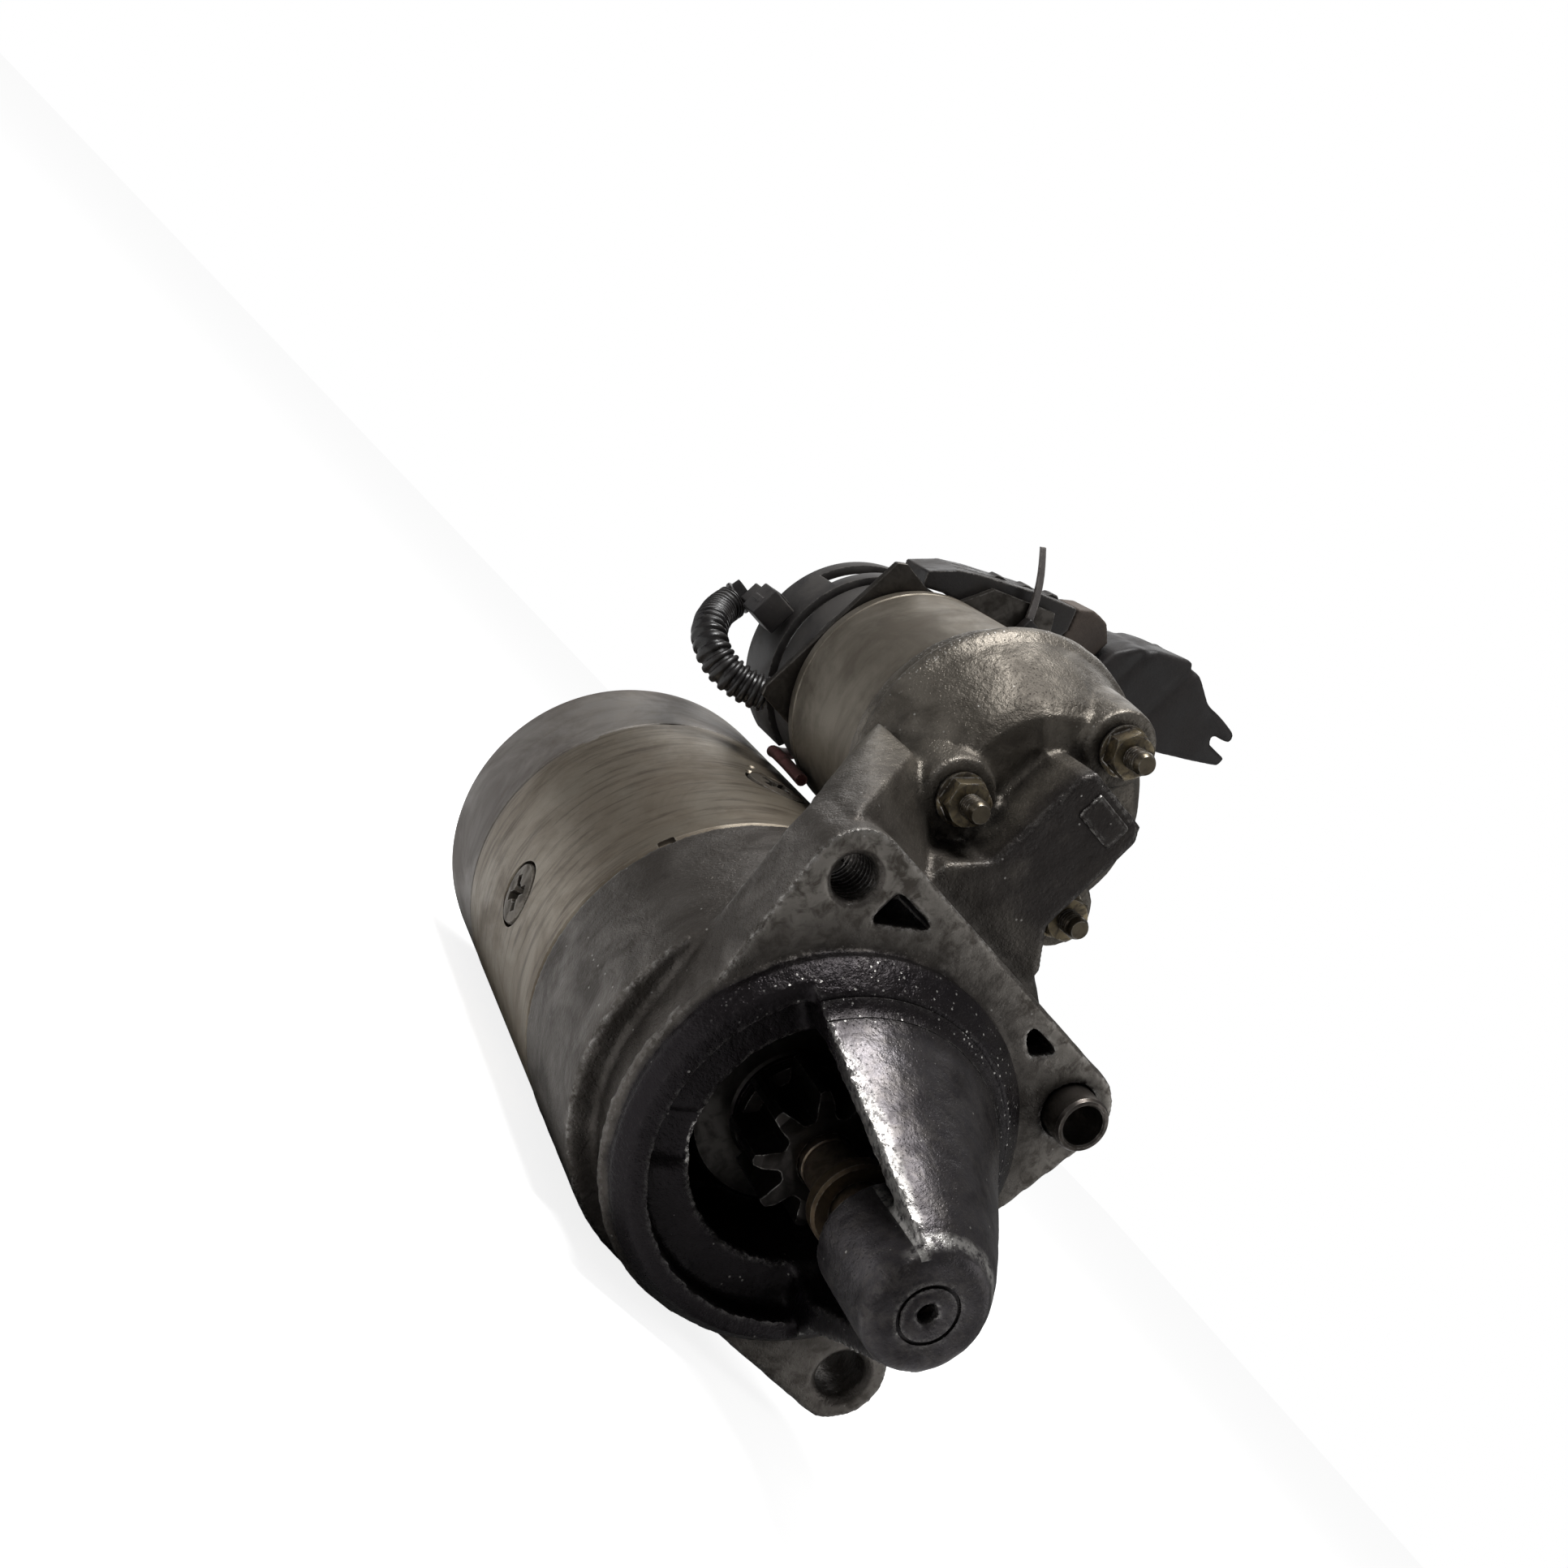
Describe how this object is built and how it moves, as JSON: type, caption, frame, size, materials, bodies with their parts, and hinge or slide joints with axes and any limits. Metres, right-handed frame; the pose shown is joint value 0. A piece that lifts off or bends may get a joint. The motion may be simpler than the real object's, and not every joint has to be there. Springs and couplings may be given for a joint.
{
  "type": "starter motor",
  "caption": "Engine starter motor with a solenoid on top, a three-lug cast flange, an open nose over the pinion, and a short harness at the back.",
  "frame": {"origin": "centre of the bounding box's base, below the motor's cylinder", "axes": "+Y along the motor axis towards the pinion nose, +Z from the motor axis towards the solenoid, +X towards the open side of the nose"},
  "size_m": [0.1248, 0.2212, 0.1871],
  "materials": {
    "cast_grey": "as cast, dull",
    "cast_oily": "as cast, oily and dark",
    "zinc_yoke": "dull yellow zinc",
    "zinc_case": "dull zinc",
    "plate_steel": "plated sheet",
    "bronze": "sintered",
    "dowel_steel": "worn",
    "pin_steel": "ground",
    "enamel_copper": "enamelled",
    "cap_plastic": "moulded",
    "terminal_copper": "drawn",
    "guide_plastic": "moulded",
    "lug_plastic": "dusty",
    "boot_rubber": "soft",
    "conduit_plastic": "corrugated",
    "connector_plastic": "moulded",
    "red_sleeve": "woven sleeve",
    "shaft_steel": "oily",
    "core_iron": "laminated",
    "collar_plastic": "moulded",
    "drive_steel": "oily",
    "pinion_steel": "hardened, oily",
    "lever_plastic": "moulded",
    "spring_steel": "wire",
    "screw_zinc": "plated, dirty",
    "carbon": "pressed carbon",
    "bolt_steel": "plated",
    "nut_zinc": "yellow zinc"
  },
  "bodies": {
    "motor": {"rear_cover": "cast_grey", "drive_housing": "cast_oily", "yoke": "zinc_yoke", "solenoid_case": "zinc_case", "harness_bracket": "plate_steel", "rear_bush": "bronze", "nose_bush": "bronze", "dowel_bush": "dowel_steel", "lever_pin": "pin_steel", "brush_plate": "plate_steel", "solenoid_coil": "enamel_copper", "solenoid_cap": "cap_plastic", "terminal_cover": "cap_plastic", "battery_terminal": "terminal_copper", "motor_terminal": "terminal_copper", "harness_guide": "guide_plastic", "cable_lug": "lug_plastic", "terminal_boot": "boot_rubber", "cable_tie": "guide_plastic", "conduit": "conduit_plastic", "connector": "connector_plastic", "field_lead": "red_sleeve", "pole_shoe_1": "core_iron", "field_coil_1": "enamel_copper", "pole_screw_1": "screw_zinc", "brush_1": "carbon", "brush_spring_1": "spring_steel", "pole_shoe_2": "core_iron", "field_coil_2": "enamel_copper", "pole_screw_2": "screw_zinc", "brush_2": "carbon", "brush_spring_2": "spring_steel", "pole_shoe_3": "core_iron", "field_coil_3": "enamel_copper", "pole_screw_3": "screw_zinc", "brush_3": "carbon", "brush_spring_3": "spring_steel", "pole_shoe_4": "core_iron", "field_coil_4": "enamel_copper", "pole_screw_4": "screw_zinc", "brush_4": "carbon", "brush_spring_4": "spring_steel", "through_bolt_1": "bolt_steel", "through_bolt_2": "bolt_steel", "solenoid_nut_1": "nut_zinc", "solenoid_nut_2": "nut_zinc", "solenoid_nut_3": "nut_zinc"},
    "armature": {"armature_shaft": "shaft_steel", "armature_core": "core_iron", "armature_windings": "enamel_copper", "commutator": "terminal_copper", "stop_ring": "bronze"},
    "drive": {"drive_collar": "collar_plastic", "clutch_shell": "drive_steel"},
    "pinion": {"pinion": "pinion_steel"},
    "lever": {"shift_lever": "lever_plastic"},
    "plunger": {"plunger": "shaft_steel", "return_spring": "spring_steel"},
    "contact": {"contact_rod": "terminal_copper"}
  },
  "joints": [
    {"name": "armature_spin", "type": "hinge", "parent": "motor", "child": "armature", "pos_m": [0.01525, 0.0016, 0.0453], "axis": [0, 1, 0], "continuous": true},
    {"name": "drive_slide", "type": "slide", "parent": "armature", "child": "drive", "axis": [0, 1, 0], "range_m": [0, 0.013]},
    {"name": "pinion_overrun", "type": "hinge", "parent": "drive", "child": "pinion", "pos_m": [0.01525, 0.0516, 0.0453], "axis": [0, 1, 0], "continuous": true},
    {"name": "lever_pivot", "type": "hinge", "parent": "motor", "child": "lever", "pos_m": [0.01525, 0.0346, 0.0913], "axis": [1, 0, 0], "range_deg": [0, 15.6]},
    {"name": "plunger_slide", "type": "slide", "parent": "motor", "child": "plunger", "axis": [0, -1, 0], "range_m": [0, 0.0082], "stiffness_N_per_m": 900, "springref_m": -0.012, "deforming": ["return_spring"]},
    {"name": "contact_slide", "type": "slide", "parent": "motor", "child": "contact", "axis": [0, -1, 0], "range_m": [0, 0.002]}
  ],
  "couplings": [
    {"joint": "drive_slide", "follows": "plunger_slide", "ratio": 1.5853},
    {"joint": "lever_pivot", "follows": "plunger_slide", "rad_per_m": 33.2},
    {"joint": "contact_slide", "follows": "plunger_slide", "ratio": 0.2439}
  ]
}
